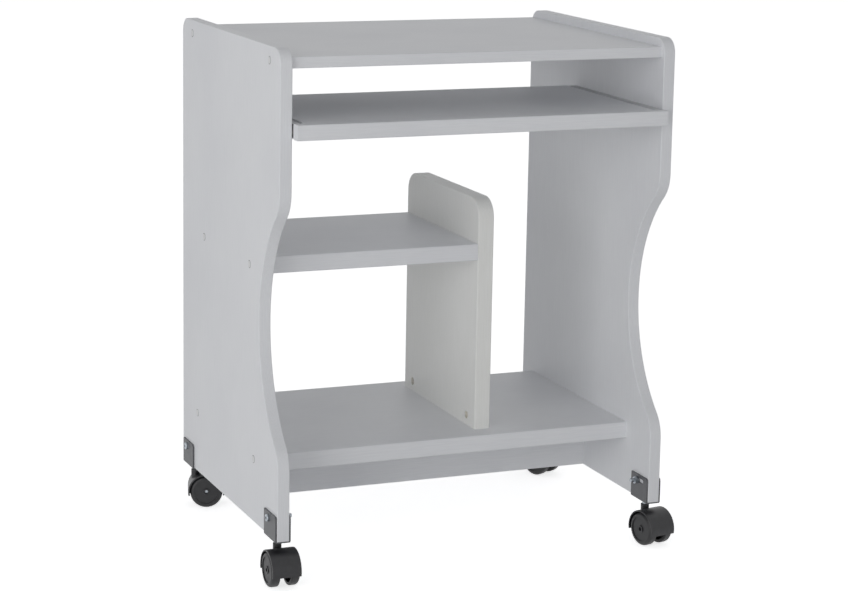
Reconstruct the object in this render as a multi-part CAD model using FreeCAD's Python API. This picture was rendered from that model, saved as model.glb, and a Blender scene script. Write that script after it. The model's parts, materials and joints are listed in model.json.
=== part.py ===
import FreeCAD, Part
import math
import os

# All sizes in millimetres. +Z is up, the front faces -Y, and left is -X.
# While it is drawn, X = 0 is the middle of the width, Y = 0 is the front edge of the
# side panels and Z = 0 is the floor. Every solid is then moved by one shift, so that
# the origin is the middle of the whole object's outline at floor level.

# side panels
width = 600.0
depth = 455.0
side_t = 18.0
side_h = 692.0
side_corner_r = 22.0
scoop_depth = 86.5
scoop_r = 221.0
scoop_height = 296.0
scoop_blend_r = 50.0
edge_r = 1.5

# top board, set below the tops of the side panels
top_t = 16.0
top_drop = 12.0
top_front = 8.0
top_rear_gap = 6.0

# thick boards
shelf_t = 25.0
shelf_edge_r = 2.0
middle_top = 385.0
middle_front = 112.0
middle_rear = 390.0
divider_left = 346.0
divider_t = 25.0
divider_top = 451.0
divider_corner_r = 30.0
bottom_top = 104.5
bottom_front = 78.0
bottom_rear = 419.0

# lower rail under the bottom shelf
rail_t = 18.0
rail_front = 220.0
rail_lift = 0.5

# keyboard tray and its runners
tray_top = 590.5
tray_t = 16.0
tray_rear = 287.0
runner_space = 16.0
strip_t = 18.0
strip_h = 22.0
strip_gap = 2.0
strip_end_gap = 0.8
runner_front = 4.0
runner_sheet = 1.2
runner_below = 5.5
runner_h = 21.0
runner_flange = 12.0
tray_flange_out = 13.0
tray_flange_up = 18.1
tray_foot = 15.0
roller_r = 8.0
roller_w = 9.0
roller_bore_play = 0.05
roller_pin_r = 2.0
roller_clear = 1.9
rear_roller_u = 4.2
pin_head_h = 0.7
front_roller_y = 16.0
front_roller_up = 10.0
rear_roller_inset = 9.0
rear_roller_up = 9.3
stop_h = 4.0
stop_gap = 0.3
front_stop_y = 26.0

# caster brackets and their bolts
bracket_w = 50.0
bracket_t = 2.5
bracket_h = 38.5
bracket_corner_r = 5.0
front_bracket_y = 1.5
rear_bracket_gap = 9.0
bolt_r = 3.0
bolt_back = 6.0
bolt_up = 27.0
bolt_head_r = 5.5
bolt_head_h = 3.6
nut_flats = 10.0
nut_h = 5.0
bolt_past_nut = 6.5
slot_length = 24.0
slot_h = 6.5
slot_y = 23.5
slot_up = 1.0

# casters
wheel_r = 25.0
wheel_w = 13.0
wheel_gap = 17.0
wheel_outer_r = 5.0
wheel_inner_r = 1.5
wheel_hub_r = 7.0
wheel_rim_r = 20.5
wheel_hollow = 8.5
wheel_dish = 1.2
axle_r = 3.0
axle_sunk = 4.0
caster_h = 66.5
trail = 17.0
hood_r = 28.4
hood_t = 2.2
hood_below_axle = 5.5
body_w = 15.0
stem_r = 4.0
stem_neck = 6.5
stem_up = 22.0
boss_r = 6.2
socket_depth = 16.0
ring_t = 1.2
ring_depth = 0.9
running_play = 0.05

# connectors
screw_r = 3.5
screw_length = 48.0
screw_head_r = 4.9
screw_head_h = 3.0
cap_r = 5.0
cap_t = 1.6
cap_proud = 0.4
hex_key = 4.0
dowel_r = 4.0
dowel_length = 30.0
dowel_play = 0.05
cross_bolt_r = 3.0
cross_bolt_head_r = 6.0
cross_bolt_head_h = 3.0
barrel_r = 5.9
barrel_hole_r = 6.0
barrel_length = 14.0
barrel_up = 15.0
cam_r = 7.5
cam_t = 12.0
cam_in = 24.0
small_screw_r = 1.6
small_head_r = 3.0
small_head_h = 1.3
small_screw_length = 13.0

V = FreeCAD.Vector
X = V(1, 0, 0)
Y = V(0, 1, 0)
Z = V(0, 0, 1)

half = width / 2
inner = half - side_t
side_bottom = caster_h
side_top = side_bottom + side_h
divider_x0 = divider_left - half
divider_x1 = divider_x0 + divider_t
bottom_z1 = side_bottom + bottom_top
bottom_z0 = bottom_z1 - shelf_t
middle_z1 = side_bottom + middle_top
middle_z0 = middle_z1 - shelf_t
top_z1 = side_top - top_drop
top_z0 = top_z1 - top_t
rail_z0 = side_bottom + rail_lift
tray_z1 = side_bottom + tray_top
tray_z0 = tray_z1 - tray_t
tray_half = inner - runner_space
runner_z0 = tray_z0 - runner_below
sides = {"left": -1, "right": 1}


def box(x0, x1, y0, y1, z0, z1):
    return Part.makeBox(abs(x1 - x0), y1 - y0, z1 - z0, V(min(x0, x1), y0, z0))


def rod(start, direction, radius, length):
    return Part.makeCylinder(radius, length, start, direction)


def hexagon(start, direction, flats, length):
    """A hexagonal bar, measured across its flats, with its axis along direction."""
    turn = FreeCAD.Rotation(Z, direction)
    corners = []
    for i in range(7):
        angle = math.radians(60 * i)
        corner = V(math.cos(angle), math.sin(angle), 0) * (flats / math.sqrt(3))
        corners.append(start + turn.multVec(corner))
    return Part.Face(Part.makePolygon(corners)).extrude(direction * length)


def on_plane(x, centre, radius, degrees):
    """A point of a circle that lies in the plane at this x, as (y, z) turned by degrees."""
    angle = math.radians(degrees)
    return V(x, centre[0] + radius * math.cos(angle), centre[1] + radius * math.sin(angle))


def arc(x, centre, radius, start, end):
    points = [on_plane(x, centre, radius, a) for a in (start, (start + end) / 2, end)]
    return Part.Arc(*points).toShape()


def outline(x, pieces):
    """A closed face in the plane at this x. Straight edges join the ends of its arcs and points."""
    edges = []
    ends = []
    for piece in pieces:
        if isinstance(piece, tuple):
            ends.append((V(x, *piece), V(x, *piece)))
        else:
            edges.append(piece)
            ends.append((piece.firstVertex(True).Point, piece.lastVertex(True).Point))
    for i, (_, end) in enumerate(ends):
        start = ends[(i + 1) % len(ends)][0]
        if (end - start).Length > 1e-6:
            edges.append(Part.makeLine(end, start))
    return Part.Face(Part.Wire(Part.__sortEdges__(edges)))


def ease(shape, radius, wanted):
    return shape.makeFillet(radius, [e for e in shape.Edges if wanted(e.BoundBox)])


def long_edges(shape, radius):
    """Round the four long edges, along X, of a plain board."""
    return ease(shape, radius, lambda b: b.XLength > 50 and b.YLength < 0.1 and b.ZLength < 0.1)


def side_panel(side):
    """A side panel with rounded top corners and a deep round scoop in its front edge."""
    x0 = half * side
    arm = scoop_r + scoop_blend_r
    reach = math.sqrt(arm ** 2 - (arm - scoop_depth) ** 2)
    scoop_z = side_bottom + scoop_height
    turn = math.degrees(math.asin(reach / arm))
    r = side_corner_r
    face = outline(x0, [
        (0, side_bottom),
        arc(x0, (scoop_blend_r, scoop_z - reach), scoop_blend_r, 180, 180 - turn),
        arc(x0, (scoop_depth - scoop_r, scoop_z), scoop_r, -turn, turn),
        arc(x0, (scoop_blend_r, scoop_z + reach), scoop_blend_r, 180 + turn, 180),
        arc(x0, (r, side_top - r), r, 180, 90),
        arc(x0, (depth - r, side_top - r), r, 90, 0),
        (depth, side_bottom),
    ])
    panel = face.extrude(X * (-side * side_t))
    return ease(panel, edge_r, lambda b: b.XLength < 0.1 and b.ZMax > side_bottom + 1)


def divider_board():
    r = divider_corner_r
    top = side_bottom + divider_top
    face = outline(divider_x0, [
        (middle_front, bottom_z1),
        arc(divider_x0, (middle_front + r, top - r), r, 180, 90),
        arc(divider_x0, (middle_rear - r, top - r), r, 90, 0),
        (middle_rear, bottom_z1),
    ])
    board = face.extrude(X * divider_t)
    return ease(board, shelf_edge_r, lambda b: b.XLength < 0.1 and b.ZMax > bottom_z1 + 1)


def panel_screw(x, side, y, z):
    """A hex-socket connector screw. Its head and a cover cap sit in a panel whose outer face is at x."""
    into = X * -side
    start = V(x, y, z) + into * (cap_t - cap_proud)
    head = rod(start, into, screw_head_r, screw_head_h)
    shank = rod(start, into, screw_r, screw_length)
    return head.fuse(shank).cut(hexagon(start, into, hex_key, screw_head_h * 0.8))


def screw_hole(x, side, y, z):
    into = X * -side
    start = V(x, y, z) + into * (cap_t - cap_proud)
    mouth = rod(V(x, y, z) - into, into, cap_r, 1 + cap_t - cap_proud)
    head = rod(start, into, screw_head_r, screw_head_h)
    return mouth.fuse(head).fuse(rod(start, into, screw_r, screw_length))


def cover_cap(x, side, y, z):
    outward = X * side
    base = V(x, y, z) - outward * (cap_t - cap_proud)
    cap = rod(base, outward, cap_r, cap_t)
    return cap.makeFillet(cap_proud * 0.8, [e for e in cap.Edges if abs(e.CenterOfMass.x - (x + side * cap_proud)) < 0.01])


def dowel(x, side, y, z, play=0.0):
    """A wooden dowel across a joint at x, half of it on each side."""
    return rod(V(x - dowel_length / 2 - play, y, z), X, dowel_r + play, dowel_length + 2 * play)


def cut_all(shape, tools):
    return shape.cut(Part.makeCompound(tools)) if tools else shape


# Each joint that screws pull together: outer x of the panel, side, then (y, z) of its screws and its dowel.
top_mid = top_z0 + top_t / 2
middle_mid = middle_z0 + shelf_t / 2
bottom_mid = bottom_z0 + shelf_t / 2
top_ys = (45.0, 405.0)
middle_ys = (129.0, 345.0)
bottom_ys = (107.0, 379.0)
screw_places = []
dowel_places = []
for side in sides.values():
    for y in top_ys:
        screw_places.append((half * side, side, y, top_mid))
    for y in bottom_ys:
        screw_places.append((half * side, side, y, bottom_mid))
    dowel_places.append((inner * side, side, sum(top_ys) / 2, top_mid))
    dowel_places.append((inner * side, side, sum(bottom_ys) / 2, bottom_mid))
    for share in (0.3, 0.7):
        z = rail_z0 + share * (bottom_z0 - rail_z0)
        dowel_places.append((inner * side, side, rail_front + rail_t / 2, z))
for y in middle_ys:
    screw_places.append((-half, -1, y, middle_mid))
    screw_places.append((divider_x1, 1, y, middle_mid))
dowel_places.append((-inner, -1, sum(middle_ys) / 2, middle_mid))
dowel_places.append((divider_x0, 1, sum(middle_ys) / 2, middle_mid))

screws = [panel_screw(*place) for place in screw_places]
screw_cuts = [screw_hole(*place) for place in screw_places]
caps = [cover_cap(*place) for place in screw_places]
dowels = [dowel(*place) for place in dowel_places]
dowel_cuts = [dowel(*place, play=dowel_play) for place in dowel_places]

# The divider is bolted up through the bottom shelf into cross dowels.
divider_ys = (143.0, 357.0)
divider_mid = divider_x0 + divider_t / 2
cross_bolts = []
cross_cuts = []
barrels = []
barrel_cuts = []
for y in divider_ys:
    foot = V(divider_mid, y, bottom_z0)
    reach = shelf_t + barrel_up + barrel_r + 4
    bolt = rod(foot, Z, cross_bolt_head_r, cross_bolt_head_h).fuse(rod(foot, Z, cross_bolt_r, reach))
    cross_bolts.append(bolt.cut(hexagon(foot, Z, hex_key, cross_bolt_head_h * 0.8)))
    cross_cuts.append(rod(foot, Z, cross_bolt_head_r + dowel_play, cross_bolt_head_h + dowel_play))
    cross_cuts.append(rod(foot, Z, cross_bolt_r + dowel_play, reach + 1))
    face = V(divider_x0, y, bottom_z1 + barrel_up)
    barrel_cuts.append(rod(face - X, X, barrel_hole_r, divider_mid - divider_x0 + barrel_length / 2 + 1))
    start = V(divider_mid - barrel_length / 2, y, bottom_z1 + barrel_up)
    barrel = rod(start, X, barrel_r, barrel_length).cut(rod(foot, Z, cross_bolt_r + dowel_play, 100))
    slot = box(start.x, start.x + 1.2, y - 0.6, y + 0.6, start.z - barrel_r, start.z + barrel_r)
    barrels.append(barrel.cut(slot))

# The rail is drawn to the side panels by cams in its rear face.
cams = []
cam_cuts = []
cam_bolts = []
rail_rear = rail_front + rail_t
rail_mid_z = (rail_z0 + bottom_z0) / 2
for side in sides.values():
    centre = V((inner - cam_in) * side, rail_rear, rail_mid_z)
    cam = rod(centre, Y * -1, cam_r - dowel_play, cam_t)
    cross = box(centre.x - 3, centre.x + 3, rail_rear - 1.5, rail_rear, rail_mid_z - 0.7, rail_mid_z + 0.7)
    neck_y = rail_front + rail_t / 2
    channel = rod(V(centre.x, neck_y, rail_mid_z), X * side, 3.6, cam_in)
    cams.append(cam.cut(cross).cut(channel))
    cam_cuts.append(rod(centre, Y * -1, cam_r, cam_t))
    cam_bolts.append(rod(V(centre.x, neck_y, rail_mid_z), X * side, 3.5, cam_in + 10))
    cam_cuts.append(rod(V(centre.x, neck_y, rail_mid_z), X * side, 3.5 + dowel_play, cam_in + 10 + dowel_play))

# Brackets, stems and their bolts, at the foot of each side panel.
bracket_starts = {"front": front_bracket_y, "rear": depth - rear_bracket_gap - bracket_w}
corners = {}
for end, y0 in bracket_starts.items():
    for name, side in sides.items():
        corners[end + "_" + name] = (side, y0)


def bracket(side, y0):
    """A folded steel channel that holds the foot of a side panel from both faces and from below."""
    x_out = (half + bracket_t) * side
    x_in = (inner - bracket_t) * side
    z0 = side_bottom - bracket_t
    shape = box(x_out, x_in, y0, y0 + bracket_w, z0, z0 + bracket_h)
    shape = shape.cut(box(half * side, inner * side, y0, y0 + bracket_w, side_bottom, z0 + bracket_h))
    shape = ease(shape, bracket_t * 0.9, lambda b: b.YLength > 40 and b.ZMax < z0 + 0.1)
    top = z0 + bracket_h
    shape = ease(shape, bracket_corner_r, lambda b: b.YMax < y0 + 0.1 and b.ZMin > top - 0.1 and b.XLength > 2)
    hole_y = y0 + bracket_w / 2 + bolt_back
    hole = rod(V(x_in, hole_y, side_bottom + bolt_up), X * side, bolt_r + dowel_play, side_t + 2 * bracket_t)
    stem_hole = rod(V((half - side_t / 2) * side, y0 + bracket_w / 2, z0), Z, stem_r + dowel_play, bracket_t)
    slot = box(x_in, (inner + 0.01) * side, y0 + slot_y - slot_length / 2, y0 + slot_y + slot_length / 2,
               side_bottom + bolt_up + slot_up - slot_h / 2, side_bottom + bolt_up + slot_up + slot_h / 2)
    slot = slot.makeFillet(slot_h / 2 - 0.01, [e for e in slot.Edges if e.BoundBox.XLength > 1])
    return shape.cut(hole).cut(stem_hole).cut(slot)


def bracket_bolt(side, y0):
    start = V((half + bracket_t) * side, y0 + bracket_w / 2 + bolt_back, side_bottom + bolt_up)
    length = side_t + 2 * bracket_t + nut_h + bolt_past_nut
    shank = rod(start, X * -side, bolt_r, length)
    shank = shank.makeChamfer(0.6, [e for e in shank.Edges if abs(e.CenterOfMass.x - (start.x - side * length)) < 0.01])
    head = rod(start, X * side, bolt_head_r, bolt_head_h)
    head = head.makeFillet(1.6, [e for e in head.Edges if abs(e.CenterOfMass.x - (start.x + side * bolt_head_h)) < 0.01])
    socket = hexagon(start + X * (side * bolt_head_h), X * -side, hex_key, 2.2)
    return shank.fuse(head).cut(socket)


def bracket_nut(side, y0):
    start = V((inner - bracket_t) * side, y0 + bracket_w / 2 + bolt_back, side_bottom + bolt_up)
    nut = hexagon(start, X * -side, nut_flats, nut_h)
    return nut.cut(rod(start, X * -side, bolt_r + dowel_play, nut_h))


def stem(side, y0):
    """The steel pin that a caster turns on, held in the bracket and in the foot of the panel."""
    x = (half - side_t / 2) * side
    y = y0 + bracket_w / 2
    low = side_bottom - bracket_t - stem_neck - socket_depth
    pin = rod(V(x, y, low), Z, stem_r, side_bottom + stem_up - low)
    groove_z = low + 3.0
    groove = rod(V(x, y, groove_z), Z, stem_r + 1, ring_t + 2 * running_play)
    groove = groove.cut(rod(V(x, y, groove_z), Z, stem_r - ring_depth, ring_t + 2 * running_play))
    return pin.cut(groove)


def stem_hole(side, y0):
    return rod(V((half - side_t / 2) * side, y0 + bracket_w / 2, side_bottom), Z, stem_r + dowel_play, stem_up + 1)


def bolt_hole(side, y0):
    start = V(half * side, y0 + bracket_w / 2 + bolt_back, side_bottom + bolt_up)
    return rod(start, X * -side, bolt_r + dowel_play, side_t)


# Casters are drawn at the origin: stem on the Z axis, wheels trailing towards -Y, axle along X.
axle_z = wheel_r
body_top = side_bottom - bracket_t - stem_neck


def caster_body():
    """A hood over both wheels, with a middle web that holds the axle and a boss for the stem."""
    total = wheel_gap + 2 * wheel_w
    axis_y = -trail
    shell = rod(V(-total / 2, axis_y, axle_z), X, hood_r, total)
    shell = ease(shell, 1.0, lambda b: b.XLength < 0.1)
    shell = shell.cut(rod(V(-total / 2, axis_y, axle_z), X, hood_r - hood_t, total))
    web = rod(V(-body_w / 2, axis_y, axle_z), X, hood_r - hood_t / 2, body_w)
    boss = rod(V(0, 0, axle_z), Z, boss_r, body_top - axle_z)
    boss = ease(boss, 1.0, lambda b: b.ZMin > body_top - 0.1)
    cheek = box(-boss_r, boss_r, axis_y, 0, axle_z, axle_z + 12)
    body = shell.fuse([web, boss, cheek])
    low = axle_z - hood_below_axle
    body = body.cut(box(-total, total, axis_y - 2 * hood_r, axis_y + 2 * hood_r, -2 * hood_r, low))
    body = body.cut(rod(V(0, 0, body_top - socket_depth - 1), Z, stem_r + running_play, 60))
    ring_z = body_top - socket_depth + 3.0 - running_play
    body = body.cut(rod(V(0, 0, ring_z), Z, stem_r + 0.9, ring_t + 4 * running_play))
    return body.cut(rod(V(-body_w, axis_y, axle_z), X, axle_r, 2 * body_w))


def caster_ring():
    """The split ring in the stem's groove that keeps the caster from dropping off."""
    z = body_top - socket_depth + 3.0 + running_play
    ring = rod(V(0, 0, z), Z, stem_r + 0.8, ring_t)
    ring = ring.cut(rod(V(0, 0, z), Z, stem_r - ring_depth + 0.1, ring_t))
    return ring.cut(box(-0.8, 0.8, 0, 10, z, z + ring_t))


def caster_axle():
    length = wheel_gap + 2 * (wheel_w - axle_sunk)
    axle = rod(V(-length / 2, -trail, axle_z), X, axle_r, length)
    return ease(axle, 0.8, lambda b: b.XLength < 0.1)


def caster_wheel(side):
    """A hollow wheel with a rounded tread, a dished outer face and a hub on the axle."""
    start = V(side * wheel_gap / 2, -trail, axle_z)
    out = X * side
    wheel = rod(start, out, wheel_r, wheel_w)
    outer_x = start.x + side * wheel_w
    wheel = wheel.makeFillet(wheel_outer_r, [e for e in wheel.Edges if abs(e.CenterOfMass.x - outer_x) < 0.01])
    wheel = wheel.makeFillet(wheel_inner_r, [e for e in wheel.Edges if abs(e.CenterOfMass.x - start.x) < 0.01])
    ring = rod(start, out, wheel_rim_r, wheel_hollow).cut(rod(start, out, wheel_hub_r, wheel_hollow))
    dish_start = start + out * (wheel_w - wheel_dish)
    dish_r = wheel_r - wheel_outer_r - 1.5
    dish = rod(dish_start, out, dish_r, wheel_dish).cut(rod(dish_start, out, wheel_hub_r * 0.8, wheel_dish))
    bore = rod(start, out, axle_r + running_play, wheel_w)
    return wheel.cut(ring).cut(dish).cut(bore)


casters = {"front_left": 0.0, "front_right": 11.0, "rear_left": 74.0, "rear_right": 25.0}


def place_caster(shape, corner):
    side, y0 = corners[corner]
    placed = shape.copy()
    placed.rotate(V(0, 0, 0), Z, casters[corner])
    placed.translate(V((half - side_t / 2) * side, y0 + bracket_w / 2, 0))
    return placed


# Runners: u is measured from the side panel's inner face towards the tray.
def at(side, u):
    return (inner - u) * side


tray_y0 = -strip_gap
rear_roller_y = tray_rear - rear_roller_inset
contact = math.sqrt(roller_r ** 2 - (rear_roller_up - runner_sheet - stop_h) ** 2)
rear_stop_y = rear_roller_y + contact + stop_gap
tray_travel = rear_roller_y - (front_stop_y + runner_sheet + contact + stop_gap)
fixing_ys = (60.0, 160.0, 255.0)


def cabinet_runner(side):
    """A C section on the side panel, open towards the tray, with a bent stop at each end."""
    y1 = rear_stop_y + runner_sheet
    z0 = runner_z0
    z1 = z0 + runner_h
    web = box(at(side, 0), at(side, runner_sheet), runner_front, y1, z0, z1)
    low = box(at(side, 0), at(side, runner_flange), runner_front, y1, z0, z0 + runner_sheet)
    high = box(at(side, 0), at(side, runner_flange), runner_front, y1, z1 - runner_sheet, z1)
    stops = []
    for y in (front_stop_y, rear_stop_y):
        stops.append(box(at(side, 4.0), at(side, 9.0), y, y + runner_sheet, z0, z0 + runner_sheet + stop_h))
    shape = web.fuse([low, high] + stops)
    for y in fixing_ys:
        shape = shape.cut(rod(V(at(side, 0), y, z0 + runner_h / 2), X * -side, small_screw_r, runner_sheet))
    return shape.cut(rod(V(at(side, 0), front_roller_y, z0 + front_roller_up), X * -side, roller_pin_r + dowel_play, runner_sheet))


def tray_runner(side):
    """A folded section: a foot under the tray, a web up its edge and a flange over the front roller."""
    u_web = runner_space - runner_sheet
    flange_z = runner_z0 + tray_flange_up
    foot = box(at(side, u_web), at(side, runner_space + tray_foot), tray_y0, tray_rear, tray_z0 - runner_sheet, tray_z0)
    web = box(at(side, u_web), at(side, runner_space), tray_y0, tray_rear, tray_z0 - runner_sheet, flange_z + runner_sheet)
    flange = box(at(side, runner_space - tray_flange_out), at(side, u_web), tray_y0, tray_rear, flange_z, flange_z + runner_sheet)
    shape = web.fuse([foot, flange])
    for y in fixing_ys:
        shape = shape.cut(rod(V(at(side, runner_space + 8), y, tray_z0 - runner_sheet), Z, small_screw_r, runner_sheet))
    start = V(at(side, runner_space), rear_roller_y, runner_z0 + rear_roller_up)
    return shape.cut(rod(start, X * side, roller_pin_r + dowel_play, runner_sheet))


def small_screw(start, direction):
    """A low round-headed screw. Its head stands on the point and its thread runs along direction."""
    head = rod(start, direction * -1, small_head_r, small_head_h)
    return head.fuse(rod(start, direction, small_screw_r, small_screw_length))


def roller(side, y, z, u0):
    start = V(at(side, u0), y, z)
    wheel = rod(start, X * -side, roller_r, roller_w)
    wheel = ease(wheel, 0.6, lambda b: b.XLength < 0.1)
    return wheel.cut(rod(start, X * -side, roller_pin_r + roller_bore_play, roller_w))


runner_screws = []
tray_screws = []
front_pins = []
rear_pins = []
rollers = {}
small_holes = []
for name, side in sides.items():
    for y in fixing_ys:
        start = V(at(side, runner_sheet), y, runner_z0 + runner_h / 2)
        runner_screws.append(small_screw(start, X * side))
        start = V(at(side, runner_space + 8), y, tray_z0 - runner_sheet)
        tray_screws.append(small_screw(start, Z))
    front_z = runner_z0 + front_roller_up
    rear_z = runner_z0 + rear_roller_up
    tip = roller_clear + roller_w + 0.2
    pin = rod(V(at(side, 0), front_roller_y, front_z), X * -side, roller_pin_r, tip)
    front_pins.append(pin.fuse(rod(V(at(side, tip), front_roller_y, front_z), X * -side, 3.0, pin_head_h)))
    tip = rear_roller_u - 0.2
    pin = rod(V(at(side, runner_space), rear_roller_y, rear_z), X * side, roller_pin_r, runner_space - tip)
    rear_pins.append(pin.fuse(rod(V(at(side, tip), rear_roller_y, rear_z), X * side, 2.8, pin_head_h)))
    rollers["front_roller_" + name] = roller(side, front_roller_y, front_z, roller_clear)
    rollers["rear_roller_" + name] = roller(side, rear_roller_y, rear_z, rear_roller_u)

strip_half = inner - strip_end_gap
strip_z0 = tray_z1 - strip_h
tray_board = box(-tray_half, tray_half, tray_y0, tray_rear, tray_z0, tray_z1)
tray_board = ease(tray_board, edge_r, lambda b: b.XLength > 50 and b.YMin > tray_rear - 0.1)
tray_front = long_edges(box(-strip_half, strip_half, tray_y0 - strip_t, tray_y0, strip_z0, tray_z1), shelf_edge_r)
strip_dowels = []
strip_dowel_cuts = []
for x in (-200.0, 0.0, 200.0):
    start = V(x, tray_y0 - 12, tray_z0 + tray_t / 2)
    strip_dowels.append(rod(start, Y, dowel_r, dowel_length))
    strip_dowel_cuts.append(rod(start - Y * dowel_play, Y, dowel_r + dowel_play, dowel_length + 2 * dowel_play))

wood_cuts = screw_cuts + dowel_cuts
nodes = {}
for name, side in sides.items():
    feet = [place for place in corners.values() if place[0] == side]
    cuts = wood_cuts + [stem_hole(*f) for f in feet] + [bolt_hole(*f) for f in feet] + cam_cuts + runner_screws
    nodes["side_panel_" + name] = [cut_all(side_panel(side), cuts)]
nodes["top_board"] = [cut_all(long_edges(box(-inner, inner, top_front, depth - top_rear_gap, top_z0, top_z1), edge_r), wood_cuts)]
shelf = long_edges(box(-inner, divider_x0, middle_front, middle_rear, middle_z0, middle_z1), shelf_edge_r)
nodes["middle_shelf"] = [cut_all(shelf, wood_cuts)]
nodes["centre_divider"] = [cut_all(divider_board(), wood_cuts + cross_cuts + barrel_cuts)]
shelf = long_edges(box(-inner, inner, bottom_front, bottom_rear, bottom_z0, bottom_z1), shelf_edge_r)
nodes["bottom_shelf"] = [cut_all(shelf, wood_cuts + cross_cuts)]
rail = box(-inner, inner, rail_front, rail_rear, rail_z0, bottom_z0)
nodes["lower_rail"] = [cut_all(rail, dowel_cuts + cam_cuts)]
nodes["connector_screws"] = screws
nodes["screw_caps"] = caps
nodes["wood_dowels"] = dowels
nodes["divider_bolts"] = cross_bolts
nodes["divider_barrel_nuts"] = barrels
nodes["rail_cams"] = cams
nodes["rail_cam_bolts"] = [cut_all(b, cams) for b in cam_bolts]
for name, side in sides.items():
    nodes["cabinet_runner_" + name] = [cabinet_runner(side)]
    nodes["tray_runner_" + name] = [tray_runner(side)]
nodes["runner_screws"] = runner_screws
nodes["tray_screws"] = tray_screws
nodes["front_roller_pins"] = front_pins
nodes["rear_roller_pins"] = rear_pins
for name, shape in rollers.items():
    nodes[name] = [shape]
nodes["tray_board"] = [cut_all(tray_board, tray_screws + strip_dowel_cuts)]
nodes["tray_front"] = [cut_all(tray_front, strip_dowel_cuts)]
nodes["tray_dowels"] = strip_dowels
for corner, place in corners.items():
    nodes["bracket_" + corner] = [bracket(*place)]
nodes["bracket_bolts"] = [bracket_bolt(*place) for place in corners.values()]
nodes["bracket_nuts"] = [bracket_nut(*place) for place in corners.values()]
nodes["caster_stems"] = [stem(*place) for place in corners.values()]
for corner in corners:
    nodes["caster_body_" + corner] = [place_caster(caster_body(), corner)]
    nodes["caster_ring_" + corner] = [place_caster(caster_ring(), corner)]
    nodes["caster_axle_" + corner] = [place_caster(caster_axle(), corner)]
    for name, side in sides.items():
        nodes["wheel_" + corner + "_" + name] = [place_caster(caster_wheel(side), corner)]

whole = FreeCAD.BoundBox()
for solids in nodes.values():
    for solid in solids:
        whole.add(solid.BoundBox)
shift = V(-(whole.XMin + whole.XMax) / 2, -(whole.YMin + whole.YMax) / 2, 0)

os.makedirs("parts", exist_ok=True)
for name, solids in nodes.items():
    moved = []
    for solid in solids:
        solid = solid.removeSplitter()
        solid.translate(shift)
        moved += solid.Solids
    shape = moved[0] if len(moved) == 1 else Part.makeCompound(moved)
    shape.exportStep("parts/" + name + ".step")
    print(name, len(moved), "solid(s)", "valid" if shape.isValid() else "NOT VALID")
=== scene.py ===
import bpy
import json
import math
import numpy as np
from mathutils import Matrix, Vector


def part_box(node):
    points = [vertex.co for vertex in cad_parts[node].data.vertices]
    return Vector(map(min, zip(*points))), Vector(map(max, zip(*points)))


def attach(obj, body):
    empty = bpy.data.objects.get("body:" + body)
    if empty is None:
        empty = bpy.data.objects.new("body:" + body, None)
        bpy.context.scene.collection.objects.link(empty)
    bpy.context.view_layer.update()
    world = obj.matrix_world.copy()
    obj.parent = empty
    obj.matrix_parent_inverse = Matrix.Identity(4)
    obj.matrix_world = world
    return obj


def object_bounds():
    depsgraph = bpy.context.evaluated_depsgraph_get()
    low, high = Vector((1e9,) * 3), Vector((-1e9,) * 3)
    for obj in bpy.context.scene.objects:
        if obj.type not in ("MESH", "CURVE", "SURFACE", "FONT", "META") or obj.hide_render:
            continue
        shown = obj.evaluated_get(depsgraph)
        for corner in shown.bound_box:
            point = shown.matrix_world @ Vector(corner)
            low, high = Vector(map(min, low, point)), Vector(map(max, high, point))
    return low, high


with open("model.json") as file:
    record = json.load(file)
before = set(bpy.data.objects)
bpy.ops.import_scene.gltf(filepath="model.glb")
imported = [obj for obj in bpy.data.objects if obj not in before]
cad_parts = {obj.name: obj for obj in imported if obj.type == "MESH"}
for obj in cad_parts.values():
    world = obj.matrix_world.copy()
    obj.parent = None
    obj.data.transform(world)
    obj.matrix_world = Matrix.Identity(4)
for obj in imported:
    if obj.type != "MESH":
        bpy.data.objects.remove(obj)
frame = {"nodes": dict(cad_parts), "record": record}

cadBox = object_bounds()
print("frame loaded:", len(frame["nodes"]), "nodes")

# the left panel's outer, front, bottom corner; most places below are measured from it
corner = Vector(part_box("side_panel_left")[0])
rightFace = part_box("side_panel_right")[1][0]
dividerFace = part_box("centre_divider")[1][0]


def linear(hexColour):
    channels = [int(hexColour[i:i + 2], 16) / 255 for i in (1, 3, 5)]
    toned = [c / 12.92 if c <= 0.04045 else ((c + 0.055) / 1.055) ** 2.4 for c in channels]
    return (*toned, 1.0)


def addNode(tree, kind, settings=None, links=None):
    # settings name the node's own values or its sockets; links give what feeds a socket
    node = tree.nodes.new("ShaderNode" + kind)
    for name, value in (settings or {}).items():
        if isinstance(name, str) and hasattr(node, name):
            setattr(node, name, value)
        else:
            node.inputs[name].default_value = value
    for name, source in (links or {}).items():
        tree.links.new(source, node.inputs[name])
    return node


def newMaterial(name):
    material = bpy.data.materials.new(name)
    material.use_nodes = True
    material.node_tree.nodes.clear()
    return material, material.node_tree


def coloured(tree, fac, light, dark):
    ramp = addNode(tree, "ValToRGB", links={"Fac": fac})
    ramp.color_ramp.elements[0].position = 0.35
    ramp.color_ramp.elements[0].color = linear(dark)
    ramp.color_ramp.elements[1].position = 0.65
    ramp.color_ramp.elements[1].color = linear(light)
    return ramp.outputs["Color"]


def finishSurface(tree, shader):
    addNode(tree, "OutputMaterial", links={"Surface": shader.outputs[0]})


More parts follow.
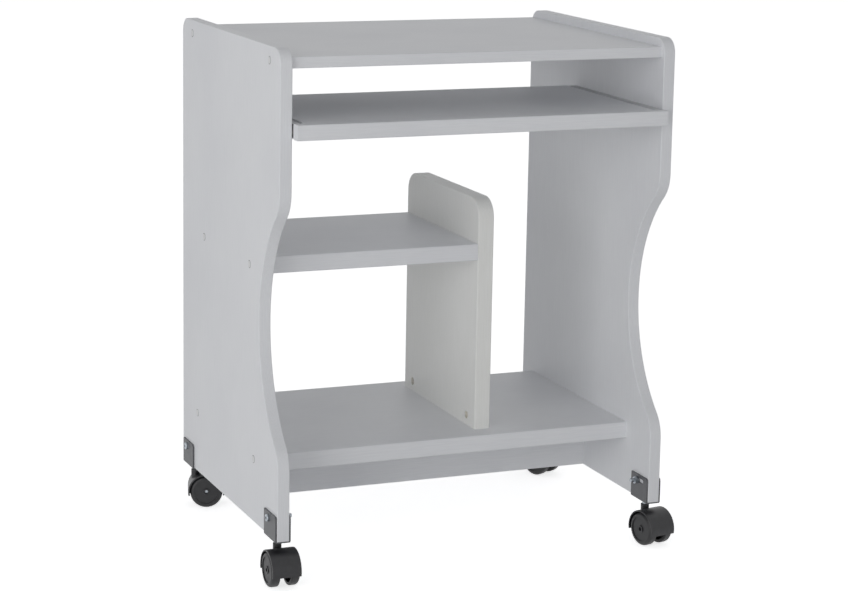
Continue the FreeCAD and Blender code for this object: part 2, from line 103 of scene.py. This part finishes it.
def pressedMelamine(name, along, look):
    # melamine film pressed on board: a soft sheen over a shallow embossed grain that runs along one axis.
    # The real pores are 0.3 mm wide, too fine to show, so they are drawn as wide as poreMm.
    material, tree = newMaterial(name)
    scale = [1000 / look["poreMm"]] * 3
    scale[along] = 1000 / look["poreLengthMm"]
    place = addNode(tree, "TexCoord").outputs["Object"]
    stretched = addNode(tree, "Mapping", {"Scale": scale}, {"Vector": place}).outputs["Vector"]
    pores = addNode(tree, "TexNoise", {"Scale": 1.0, "Detail": 3.0, "Roughness": 0.6}, {"Vector": stretched})
    cloud = addNode(tree, "TexNoise", {"Scale": 1000 / look["cloudMm"], "Detail": 2.0}, {"Vector": place})
    mixed = addNode(tree, "Math", {"operation": "ADD"},
                    {0: pores.outputs["Fac"], 1: cloud.outputs["Fac"]}).outputs[0]
    half = addNode(tree, "Math", {"operation": "MULTIPLY", 1: 0.5}, {0: mixed}).outputs[0]
    gloss = addNode(tree, "MapRange", {"To Min": look["rough"][0], "To Max": look["rough"][1]},
                    {"Value": pores.outputs["Fac"]}).outputs["Result"]
    bump = addNode(tree, "Bump", {"Strength": look["bump"], "Distance": look["poreDepthMm"] / 1000},
                   {"Height": pores.outputs["Fac"]}).outputs["Normal"]
    colour = coloured(tree, half, look["light"], look["dark"])
    shader = addNode(tree, "BsdfPrincipled", {"IOR": 1.5},
                     {"Base Color": colour, "Roughness": gloss, "Normal": bump})
    finishSurface(tree, shader)
    return material


def finePlastic(name, look):
    # moulded or sprayed surface: an even colour with a fine eggshell texture and slight patches of sheen
    material, tree = newMaterial(name)
    place = addNode(tree, "TexCoord").outputs["Object"]
    grain = addNode(tree, "TexNoise", {"Scale": 1000 / look["grainMm"], "Detail": 2.0}, {"Vector": place})
    patch = addNode(tree, "TexNoise", {"Scale": 1000 / look["patchMm"], "Detail": 3.0}, {"Vector": place})
    gloss = addNode(tree, "MapRange", {"To Min": look["rough"][0], "To Max": look["rough"][1]},
                    {"Value": patch.outputs["Fac"]}).outputs["Result"]
    bump = addNode(tree, "Bump", {"Strength": look["bump"], "Distance": look["grainDepthMm"] / 1000},
                   {"Height": grain.outputs["Fac"]}).outputs["Normal"]
    colour = coloured(tree, patch.outputs["Fac"], look["light"], look["dark"])
    shader = addNode(tree, "BsdfPrincipled", {"IOR": 1.5, "Metallic": look.get("metallic", 0.0)},
                     {"Base Color": colour, "Roughness": gloss, "Normal": bump})
    finishSurface(tree, shader)
    return material


melamine = {"light": "#EFF0F2", "dark": "#E7E8EB", "poreMm": 1.6, "poreLengthMm": 40, "cloudMm": 180,
            "poreDepthMm": 0.12, "bump": 0.35, "rough": (0.42, 0.6)}
# painted light: the divider gets a lighter, slightly warmer copy of the same melamine, standing in for the
# light its left face catches through the front opening
dividerPaintedLightMelamine = dict(melamine, light="#F6F6F3", dark="#EEEEEA")

looks = {
    "alongX": pressedMelamine("melamine_board_pressed_grain_across", 0, melamine),
    "alongZ": pressedMelamine("melamine_board_pressed_grain_upright", 2, melamine),
    "divider": pressedMelamine("melamine_divider_pressed_grain_upright", 2, dividerPaintedLightMelamine),
    "cap": finePlastic("polythene_cap_moulded", {
        "light": "#E9E9E9", "dark": "#DEDEDF", "grainMm": 0.8, "patchMm": 12,
        "grainDepthMm": 0.03, "bump": 0.3, "rough": (0.35, 0.5)}),
    # painted shade: this dark grey stands in for the shade in the narrow gap round each cover cap
    "capGapShade": finePlastic("painted_shade_cap_gap", {
        "light": "#6E6F70", "dark": "#5C5D5E", "grainMm": 0.6, "patchMm": 4,
        "grainDepthMm": 0.03, "bump": 0.3, "rough": (0.7, 0.9)}),
    "zinc": finePlastic("zinc_plate_bright", {
        "light": "#B4BAC0", "dark": "#959BA1", "grainMm": 0.5, "patchMm": 5, "metallic": 1.0,
        "grainDepthMm": 0.02, "bump": 0.3, "rough": (0.25, 0.45)}),
    "yellowZinc": finePlastic("zinc_plate_yellow_passivated", {
        "light": "#CDB98A", "dark": "#A78F5E", "grainMm": 0.5, "patchMm": 4, "metallic": 1.0,
        "grainDepthMm": 0.02, "bump": 0.3, "rough": (0.35, 0.55)}),
    "beech": finePlastic("beech_turned", {
        "light": "#D2AC7C", "dark": "#B98E5C", "grainMm": 1.2, "patchMm": 6,
        "grainDepthMm": 0.1, "bump": 0.5, "rough": (0.6, 0.8)}),
    "runner": finePlastic("steel_runner_powder_coated", {
        "light": "#DADBDC", "dark": "#CDCED0", "grainMm": 0.9, "patchMm": 25,
        "grainDepthMm": 0.03, "bump": 0.4, "rough": (0.4, 0.55)}),
    # painted shade: the tray's runners are coloured dark grey to stand in for the shade in the gap between the
    # tray and the side panels
    "trayRunnerShade": finePlastic("steel_runner_painted_shade", {
        "light": "#48494B", "dark": "#3C3D3F", "grainMm": 0.9, "patchMm": 20,
        "grainDepthMm": 0.03, "bump": 0.4, "rough": (0.45, 0.6)}),
    "bracket": finePlastic("steel_bracket_sprayed_enamel", {
        "light": "#5E5F62", "dark": "#525356", "grainMm": 0.9, "patchMm": 14,
        "grainDepthMm": 0.04, "bump": 0.4, "rough": (0.38, 0.55)}),
    "roller": finePlastic("nylon_roller_moulded", {
        "light": "#DCDCD6", "dark": "#CFCFC8", "grainMm": 0.6, "patchMm": 5,
        "grainDepthMm": 0.02, "bump": 0.3, "rough": (0.35, 0.5)}),
    "casterBody": finePlastic("nylon_hood_moulded_satin", {
        "light": "#252528", "dark": "#1C1C1F", "grainMm": 0.9, "patchMm": 10,
        "grainDepthMm": 0.03, "bump": 0.35, "rough": (0.3, 0.45)}),
    "wheel": finePlastic("nylon_wheel_moulded", {
        "light": "#212124", "dark": "#19191B", "grainMm": 0.7, "patchMm": 8,
        "grainDepthMm": 0.04, "bump": 0.45, "rough": (0.38, 0.55)}),
}

# the record's slot names, and the boards whose grain runs upright
slotLooks = {
    "white_board": "alongX", "white_cap": "cap", "zinc_steel": "zinc", "yellow_zinc": "yellowZinc",
    "cam_zinc": "zinc", "beech": "beech", "runner_paint": "runner", "runner_dark": "trayRunnerShade", "bracket_paint": "bracket",
    "roller_nylon": "roller", "caster_plastic": "casterBody", "wheel_plastic": "wheel",
}
boardLooks = {"side_panel_left": "alongZ", "side_panel_right": "alongZ", "centre_divider": "divider"}
for subpart in frame["record"]["subparts"]:
    name = subpart["node"]
    look = looks[boardLooks.get(name, slotLooks[subpart["material_slot"]])]
    node = frame["nodes"][name]
    for materialSlot in node.material_slots:
        materialSlot.link = "OBJECT"
        materialSlot.material = look
print("materials on the CAD nodes:", len(looks))


def meshPiece(name, points, faces, material, smooth=True):
    mesh = bpy.data.meshes.new(name)
    mesh.from_pydata([tuple(p) for p in points.reshape(-1, 3)], [], faces)
    mesh.polygons.foreach_set("use_smooth", [smooth] * len(mesh.polygons))
    mesh.update()
    piece = bpy.data.objects.new(name, mesh)
    bpy.context.scene.collection.objects.link(piece)
    mesh.materials.append(material)
    return piece


def turnedRings(centres, radii, heights, side, steps):
    # each ring is a closed profile of (radius, height off the face) turned about an X axis through its centre
    angles = np.linspace(0, 2 * np.pi, steps, endpoint=False)[:, None]
    radii = np.asarray(radii)[None, :]
    heights = np.broadcast_to(np.asarray(heights)[None, :], (steps, len(heights)))
    ring = np.stack([side * heights, radii * np.cos(angles), radii * np.sin(angles)], axis=-1)
    return np.asarray(centres)[:, None, None, :] + ring[None]


def ringFaces(rings, steps, count, flip):
    faces = []
    for r in range(rings):
        for i in range(steps):
            for j in range(count):
                a = r * steps * count + i * count + j
                b = r * steps * count + ((i + 1) % steps) * count + j
                c = r * steps * count + ((i + 1) % steps) * count + (j + 1) % count
                d = r * steps * count + i * count + (j + 1) % count
                faces.append((a, b, c, d) if flip else (d, c, b, a))
    return faces


# painted shade: a thin dark ring is laid round each cover cap, where it enters its hole, standing in for the
# shade in that gap;
# rows are depths behind the left panel's front edge and a height above its foot
topMid = sum(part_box("top_board")[i][2] for i in (0, 1)) / 2 - corner.z
capRing = {"inner": 0.00495, "outer": 0.00555, "proud": 0.00012, "sunk": 0.0003, "steps": 48,
           "rows": {"top": ((0.045, 0.405), topMid), "bottom": ((0.107, 0.379), 0.092),
                    "middle": ((0.129, 0.345), 0.3725)}}
capFaces = {
    "left": (corner.x, -1, ["top", "bottom", "middle"]),
    "right": (rightFace, 1, ["top", "bottom"]),
    "divider": (dividerFace, 1, ["middle"]),
}
for faceName, (faceX, side, rows) in capFaces.items():
    centres = []
    for row in rows:
        depths, height = capRing["rows"][row]
        centres += [(faceX, corner.y + depth, corner.z + height) for depth in depths]
    radii = [capRing["inner"], capRing["outer"], capRing["outer"], capRing["inner"]]
    heights = [capRing["proud"], capRing["proud"], -capRing["sunk"], -capRing["sunk"]]
    points = turnedRings(centres, radii, heights, side, capRing["steps"])
    faces = ringFaces(len(centres), capRing["steps"], 4, side < 0)
    rings = meshPiece("cap_shade_ring_" + faceName, points, faces, looks["capGapShade"], smooth=False)
    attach(rings, "carcass")
print("cap rings made")

def seenBy(tree, *rays):
    # 1 for a ray of one of these kinds, and 0 for any other
    path = addNode(tree, "LightPath")
    seen = path.outputs[rays[0]]
    for ray in rays[1:]:
        seen = addNode(tree, "Math", {"operation": "MAXIMUM"}, {0: seen, 1: path.outputs[ray]}).outputs[0]
    return seen


# floor and background: white to the camera, with the soft shadow kept
floorLook = {"size": 12.0, "colour": "#FFFFFF", "lift": 0.72}
floorMaterial, tree = newMaterial("studio_floor_matt_paper")
fleck = addNode(tree, "TexNoise", {"Scale": 300.0}, {"Vector": addNode(tree, "TexCoord").outputs["Object"]})
paper = addNode(tree, "BsdfDiffuse", {}, {"Color": coloured(tree, fleck.outputs["Fac"], "#FFFFFF", "#FCFCFC")})
seen = seenBy(tree, "Is Camera Ray", "Is Glossy Ray")
strength = addNode(tree, "Math", {"operation": "MULTIPLY", 1: floorLook["lift"]}, {0: seen}).outputs[0]
glow = addNode(tree, "Emission", {}, {"Strength": strength})
finishSurface(tree, addNode(tree, "AddShader", {}, {0: paper.outputs[0], 1: glow.outputs[0]}))
reach = floorLook["size"]
floorPoints = np.array([(-reach, -reach, 0), (reach, -reach, 0), (reach, reach, 0), (-reach, reach, 0)]) \
    - np.array([0, 0, 0.0002])
floor = meshPiece("floor", floorPoints, [(0, 1, 2, 3)], floorMaterial, smooth=False)

world = bpy.data.worlds.new("studio")
bpy.context.scene.world = world
world.use_nodes = True
world.node_tree.nodes.clear()
tree = world.node_tree
seen = seenBy(tree, "Is Camera Ray", "Is Glossy Ray", "Is Transmission Ray")
# the room is dimmer overhead than at the sides, so level faces are a shade darker than upright ones
skyLook = {"side": 0.54, "overhead": 0.2}
direction = addNode(tree, "SeparateXYZ", {}, {"Vector": addNode(tree, "TexCoord").outputs["Generated"]})
level = addNode(tree, "MapRange", {"To Min": skyLook["side"], "To Max": skyLook["overhead"]},
                {"Value": direction.outputs["Z"]}).outputs["Result"]
ambient = addNode(tree, "Background", {"Color": (0.97, 0.98, 1.0, 1.0)}, {"Strength": level})
white = addNode(tree, "Background", {"Color": (1.0, 1.0, 1.0, 1.0), "Strength": 1.0})
sky = addNode(tree, "MixShader", {}, {0: seen, 1: ambient.outputs[0], 2: white.outputs[0]})
addNode(tree, "OutputWorld", links={"Surface": sky.outputs[0]})

lamps = {
    "left_softbox": {"place": (-3.2, -2.1, 0.6), "size": 2.4, "power": 41},
    "front_softbox": {"place": (-0.6, -4.0, 0.8), "size": 2.6, "power": 10},
    "overhead_softbox": {"place": (0.4, -0.4, 3.4), "size": 2.4, "power": 2},
}
centre = sum((Vector(c) for c in cadBox), Vector()) / 2
for name, lamp in lamps.items():
    light = bpy.data.lights.new(name, "AREA")
    light.energy = lamp["power"]
    light.size = lamp["size"]
    holder = bpy.data.objects.new(name, light)
    bpy.context.scene.collection.objects.link(holder)
    holder.location = lamp["place"]
    holder.rotation_euler = (centre - holder.location).to_track_quat("-Z", "Y").to_euler()
print("floor and lights placed")

# the camera stands in front and to the left; offsets are in metres from the left panel's corner
cameraSet = {"offset": (-1.0575, -3.0797, 1.0528), "azimuth": 22.46, "elevation": 11.01, "roll": 1.03,
             "lens": 102.71, "shiftY": -0.0535}
az, el, roll = (math.radians(cameraSet[k]) for k in ("azimuth", "elevation", "roll"))
forward = Vector((math.sin(az) * math.cos(el), math.cos(az) * math.cos(el), -math.sin(el)))
levelRight = Vector((math.cos(az), -math.sin(az), 0))
levelUp = levelRight.cross(forward)
right = levelRight * math.cos(roll) + levelUp * math.sin(roll)
up = levelUp * math.cos(roll) - levelRight * math.sin(roll)
lens = bpy.data.cameras.new("camera")
lens.lens = cameraSet["lens"]
lens.sensor_width = 36.0
lens.sensor_fit = "HORIZONTAL"
lens.shift_y = cameraSet["shiftY"]
lens.clip_end = 60.0
camera = bpy.data.objects.new("camera", lens)
bpy.context.scene.collection.objects.link(camera)
turn = Matrix((right, up, -forward)).transposed().to_4x4()
camera.matrix_world = Matrix.Translation(corner + Vector(cameraSet["offset"])) @ turn
bpy.context.scene.camera = camera
bpy.context.scene.view_settings.view_transform = "Standard"
print("camera set")
